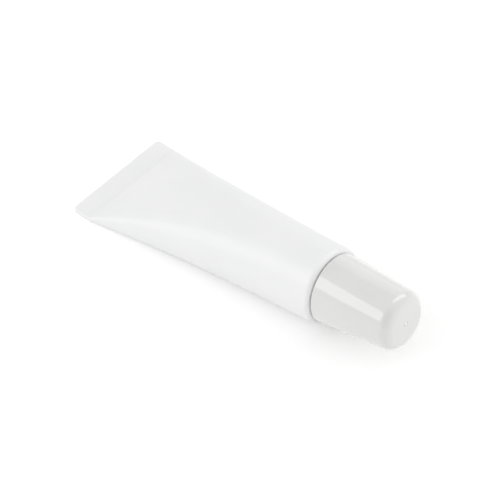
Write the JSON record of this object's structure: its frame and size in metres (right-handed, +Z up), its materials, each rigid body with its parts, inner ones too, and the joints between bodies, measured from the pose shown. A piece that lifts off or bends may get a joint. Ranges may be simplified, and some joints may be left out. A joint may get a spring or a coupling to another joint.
{
  "type": "lip balm tube",
  "caption": "Small plastic squeeze tube for lip balm, lying flat, with a heat-sealed flat tail, a slanted applicator and a tapered screw cap that comes off.",
  "frame": {"origin": "under the middle of the lying tube, on the surface that it rests on", "axes": "+X along the tube from the sealed tail to the cap, +Y across it, +Z up from the surface"},
  "size_m": [0.0756, 0.0256, 0.017],
  "materials": {
    "sleeve": "satin extruded polyethylene",
    "head": "satin moulded polyethylene",
    "balm": "waxy, soft",
    "cap": "glossy moulded polypropylene"
  },
  "bodies": {
    "tube": {"tube_sleeve": "sleeve", "tube_head": "head", "balm": "balm"},
    "cap": {"cap": "cap"}
  },
  "joints": [
    {"name": "cap_off", "type": "slide", "parent": "tube", "child": "cap", "axis": [0.9886, 0, 0.1508], "range_m": [0, 0.018]}
  ]
}
